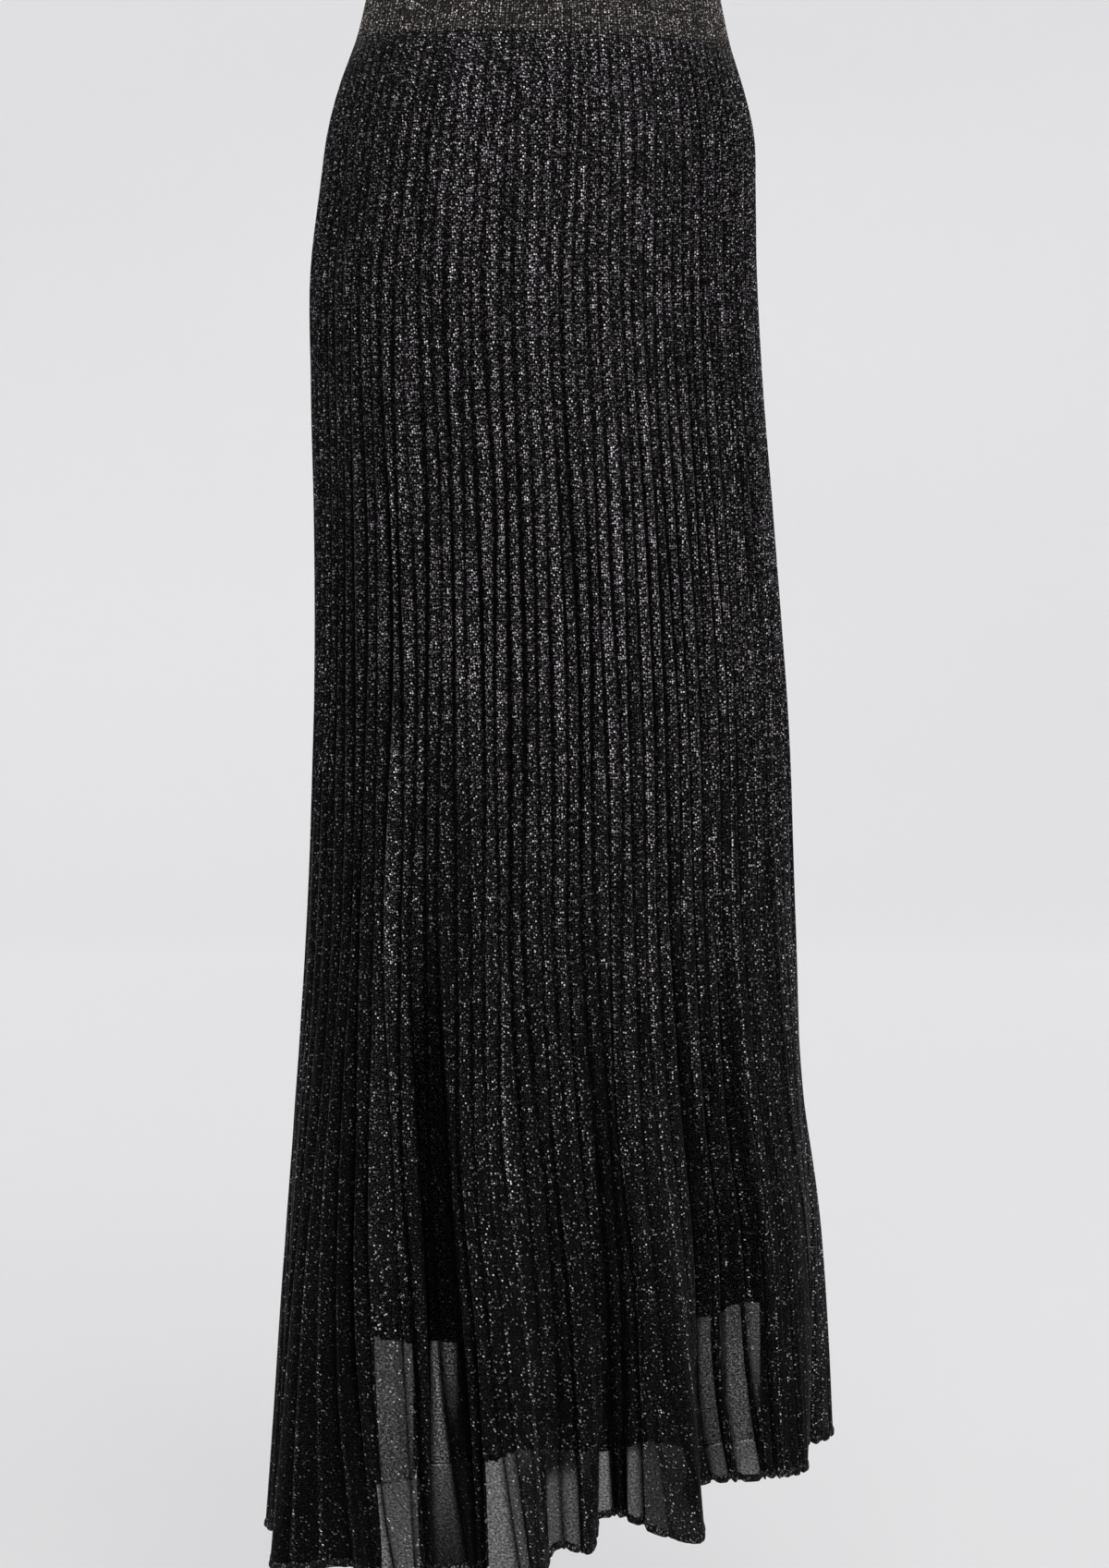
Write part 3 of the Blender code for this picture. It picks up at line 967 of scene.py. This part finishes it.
def attribute(tree, name):
    """A value carried by the mesh's points."""
    return node(tree, "ShaderNodeAttribute", {"attribute_name": name}).outputs["Fac"]


def raise_surface(tree, shader, height, strength, distance):
    """Let a height lift the surface in the light."""
    bump = node(tree, "ShaderNodeBump", None,
                {"Height": height, "Strength": strength, "Distance": distance})
    tree.links.new(bump.outputs[0], shader.inputs["Normal"])


def knit_material(name, gains, rarities, ground, silver, is_panel):
    """Black knit with silver flecks along its wales, dimmed in its valleys as painted shade; gains
    and rarities are top and hem, the gains partly painted light from above.
    """
    made, tree, shader = new_material(name)
    crest = attribute(tree, "crest")
    drop = attribute(tree, "drop")
    flecks = cells(tree, FLECK_CELL, 0.7)
    chance = node(tree, "ShaderNodeSeparateColor", None, {0: flecks.outputs["Color"]})
    patch = noise(tree, PATCH_CELL, 2.0)
    spot = remap(tree, flecks.outputs["Distance"], 0.10, 0.46, 1.0, 0.0)
    rarity = remap(tree, drop, 0.45, 1.00, rarities[0], rarities[1], "LINEAR")
    if is_panel:
        # Painted highlight: along the crease line the flecks are more common and brighter
        crease_highlight = attribute(tree, "crease_highlight")
        rarity = maths(tree, "MULTIPLY", rarity, maths(tree, "MULTIPLY_ADD", crease_highlight, -0.7, 1.0))
    bright = maths(tree, "POWER", chance.outputs[0], rarity)
    # The gain falls from top to hem: partly painted light from above, partly the flecks' own fading
    # lower down
    gain = remap(tree, drop, 0.45, 1.02, gains[0], gains[1], "LINEAR")
    patchy = remap(tree, patch, 0.35, 0.68, 0.6, 1.3)
    # Painted shade: the flecks and loops are dimmer in the valleys of pleats and ribs, down to a
    # floor that changes with the drop
    valley_shade_floor = maths(tree, "ADD", remap(tree, drop, 0.12, 0.38, 0.26, 0.02, "LINEAR"),
                   remap(tree, drop, 0.46, 0.64, 0.0, 0.22, "LINEAR"))
    ridge = remap(tree, crest, 0.28, 0.88, valley_shade_floor, 1.0)
    if is_panel:
        ridge = maths(tree, "MULTIPLY", ridge, attribute(tree, "flecks"))
        # Painted highlight along the crease line
        ridge = maths(tree, "MULTIPLY_ADD", crease_highlight, 2.2, ridge)
    gain = maths(tree, "MULTIPLY", gain, maths(tree, "MULTIPLY", patchy, ridge))
    fleck = maths(tree, "MULTIPLY", maths(tree, "MULTIPLY", bright, spot), gain)
    loops = maths(tree, "MULTIPLY", spot, maths(tree, "MULTIPLY", gain, 0.045))
    colour = blend(tree, loops, silver(ground), silver(0.45))
    # Painted glints: the rarest flecks get a near white silver
    glint = remap(tree, chance.outputs[0], 0.93, 0.99, 0.0, 1.0)
    metal = blend(tree, chance.outputs[1], violet(0.56) if is_panel else silver(0.56), silver(0.56))
    metal = blend(tree, glint, metal, silver(0.92))
    colour = blend(tree, fleck, colour, metal)
    tree.links.new(colour, shader.inputs["Base Color"])
    shader.inputs["Roughness"].default_value = 0.55
    shader.inputs["Specular IOR Level"].default_value = 0.02
    tree.links.new(maths(tree, "MULTIPLY", fleck, 0.35), shader.inputs["Metallic"])
    raise_surface(tree, shader, spot, 0.5, 0.0004)
    if is_panel:
        grain = remap(tree, noise(tree, GRAIN_CELL, 1.0), 0.30, 0.70, 0.62, 1.34)
        through = maths(tree, "MULTIPLY", attribute(tree, "clear"), grain)
        solid = maths(tree, "SUBTRACT", 1.0, through)
        solid = node(tree, "ShaderNodeMath", {"operation": "MAXIMUM", "use_clamp": True},
                     {0: solid, 1: maths(tree, "MULTIPLY", fleck, 1.5)}).outputs[0]
        tree.links.new(solid, shader.inputs["Alpha"])
    return made


def jersey_material(name):
    """Plain black jersey."""
    made, tree, shader = new_material(name)
    shade = remap(tree, noise(tree, JERSEY_PATCH, 3.0), 0.3, 0.7, 0.0, 1.0)
    colour = blend(tree, shade, grey(0.0016), grey(0.0031))
    tree.links.new(colour, shader.inputs["Base Color"])
    shader.inputs["Roughness"].default_value = 0.8
    shader.inputs["Specular IOR Level"].default_value = 0.03
    loops = cells(tree, JERSEY_LOOP, 0.25)
    raise_surface(tree, shader, loops.outputs["Distance"], 0.4, 0.0002)
    return made


def edging_material(name):
    """Black overlock thread with a few silver loops of the knit showing through."""
    made, tree, shader = new_material(name)
    wave = node(tree, "ShaderNodeTexWave", {"bands_direction": "X"},
                {"Vector": scaled(tree, (EDGE_THREAD, EDGE_THREAD)), "Scale": 0.32,
                 "Distortion": 1.0, "Detail": 1.0})
    flecks = cells(tree, FLECK_CELL, 0.8)
    chance = node(tree, "ShaderNodeSeparateColor", None, {0: flecks.outputs["Color"]})
    spot = remap(tree, flecks.outputs["Distance"], 0.1, 0.5, 1.0, 0.0)
    bright = maths(tree, "MULTIPLY", maths(tree, "POWER", chance.outputs[0], 4.0), spot)
    colour = blend(tree, wave.outputs["Fac"], tinted(0.0024), tinted(0.009))
    colour = blend(tree, maths(tree, "MULTIPLY", bright, 0.7), colour, tinted(0.45))
    tree.links.new(colour, shader.inputs["Base Color"])
    shader.inputs["Roughness"].default_value = 0.65
    shader.inputs["Specular IOR Level"].default_value = 0.05
    tree.links.new(maths(tree, "SUBTRACT", 1.0, attribute(tree, "clear")),
                   shader.inputs["Alpha"])
    raise_surface(tree, shader, wave.outputs["Fac"], 0.5, 0.0003)
    return made


def paint_material(name):
    """Pale matt paint, a little darker round the middle of the floor."""
    made, tree, shader = new_material(name)
    grain = node(tree, "ShaderNodeTexNoise", None, {"Scale": 3.0, "Detail": 2.0})
    shade = remap(tree, grain.outputs[0], 0.3, 0.7, 0.96, 1.0)
    place = node(tree, "ShaderNodeTexCoord").outputs["Object"]
    away = node(tree, "ShaderNodeVectorMath", {"operation": "LENGTH"}, {0: place}).outputs["Value"]
    away = remap(tree, away, *PAINT_REACH, 0.0, 1.0, "LINEAR")
    paint = blend(tree, away, grey(0.73, 0.006), grey(0.92, 0.003))
    paint = node(tree, "ShaderNodeVectorMath", {"operation": "SCALE"},
                 {0: paint, "Scale": shade}).outputs[0]
    tree.links.new(paint, shader.inputs["Base Color"])
    shader.inputs["Roughness"].default_value = 0.9
    shader.inputs["Specular IOR Level"].default_value = 0.2
    return made


def studio_sweep(collection):
    """A pale round dish of floor and wall."""
    profile = [(0.0, 0.0), (2.0, 0.0), (FLOOR_RADIUS, 0.0)]
    for step in range(1, CURVE_STEPS + 1):
        angle = math.radians(90 * step / CURVE_STEPS)
        profile.append((FLOOR_RADIUS + CURVE_RADIUS * math.sin(angle),
                        CURVE_RADIUS * (1 - math.cos(angle))))
    profile.append((FLOOR_RADIUS + CURVE_RADIUS, WALL_HEIGHT))
    points, faces = [], []
    for side in range(STUDIO_SIDES):
        angle = 2 * math.pi * side / STUDIO_SIDES
        for out, high in profile:
            points.append((out * math.cos(angle), out * math.sin(angle), FLOOR_LEVEL + high))
    count = len(profile)
    for side in range(STUDIO_SIDES):
        here, there = side * count, (side + 1) % STUDIO_SIDES * count
        for step in range(count - 1):
            faces.append((here + step, here + step + 1, there + step + 1, there + step))
    mesh = bpy.data.meshes.new("studio_sweep")
    mesh.from_pydata(points, [], faces)
    mesh.shade_smooth()
    sweep = bpy.data.objects.new("studio_sweep", mesh)
    collection.objects.link(sweep)
    sweep.data.materials.append(paint_material("studio_paint"))


def studio_light(collection, right, back):
    """A pale world and soft lamps."""
    world = bpy.data.worlds.new("studio_light")
    world.use_nodes = True
    world.node_tree.nodes["Background"].inputs[0].default_value = (0.96, 0.965, 1.0, 1.0)
    world.node_tree.nodes["Background"].inputs[1].default_value = 0.80
    bpy.context.scene.world = world
    for row in LAMPS:
        lamp = bpy.data.lights.new(row.name, "AREA")
        lamp.shape = "DISK"
        lamp.size = row.size
        lamp.energy = row.power
        shown = bpy.data.objects.new(row.name, lamp)
        shown.location = back * row.back + right * row.right + Vector((0, 0, row.high))
        target = back * row.target_back + Vector((0, 0, row.target_high))
        shown.rotation_euler = (target - shown.location).to_track_quat("-Z", "Y").to_euler()
        collection.objects.link(shown)


def studio_camera(collection, right, back):
    """The camera at the viewing angle of the photo."""
    pitch = math.radians(VIEW_PITCH)
    lens = bpy.data.cameras.new("camera")
    lens.sensor_width = SENSOR
    lens.lens = SENSOR * PHOTO_FOCAL / PHOTO_HEIGHT
    camera = bpy.data.objects.new("camera", lens)
    camera.location = back * CAMERA_AWAY + right * CAMERA_ASIDE + Vector((0, 0, CAMERA_LEVEL))
    look = -back * math.cos(pitch) - Vector((0, 0, math.sin(pitch)))
    camera.rotation_euler = look.to_track_quat("-Z", "Y").to_euler()
    collection.objects.link(camera)
    bpy.context.scene.camera = camera
    bpy.context.scene.view_settings.view_transform = "Standard"


def main():
    skirt = bpy.data.collections.new("skirt_looks")
    bpy.context.scene.collection.children.link(skirt)
    azimuth = math.radians(VIEW_AZIMUTH)
    right = Vector((math.cos(azimuth), math.sin(azimuth), 0))
    back = Vector((math.sin(azimuth), -math.cos(azimuth), 0))
    studio_sweep(skirt)
    studio_light(skirt, right, back)
    studio_camera(skirt, right, back)

    # The knit's gains fall toward the hem, partly as painted light from above
    knit = knit_material("fleck_knit", (1.54, 1.00), (3.5, 16.0), 0.0015, tinted, True)
    rib = knit_material("fleck_rib", (1.40, 1.40), (2.2, 2.2), 0.010, warm, False)
    jersey = jersey_material("black_jersey")
    thread = edging_material("hem_thread")

    panels = (
        Panel("front_pleats", -90, 90, 11, FRONT_LINES, FRONT_SHEERS, 0.0),
        Panel("back_pleats", 90, 270, 23, BACK_LINES, BACK_SHEERS, 0.98),
    )
    band = waistband(skirt)
    band.data.materials.append(rib)
    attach(band, "root")
    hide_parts("waistband")

    for panel, node_name in zip(panels, ("front_panel", "back_panel")):
        piece, hem, (wide, long, area) = pleated_panel(panel, skirt)
        piece.data.materials.append(knit)
        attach(piece, "root")
        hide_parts(node_name)
        edge = hem_edging(panel.name.replace("pleats", "hem_edge"), hem, panel.edge_clear, skirt)
        edge.data.materials.append(thread)
        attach(edge, "root")

    for name, node_name, first, last, seed in (("lining_jersey_front", "lining_front", -90, 90, 3),
                                               ("lining_jersey_back", "lining_back", 90, 270, 8)):
        piece, (wide, long, area) = lining_piece(name, first, last, seed, skirt)
        piece.data.materials.append(jersey)
        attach(piece, "root")
        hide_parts(node_name)


main()
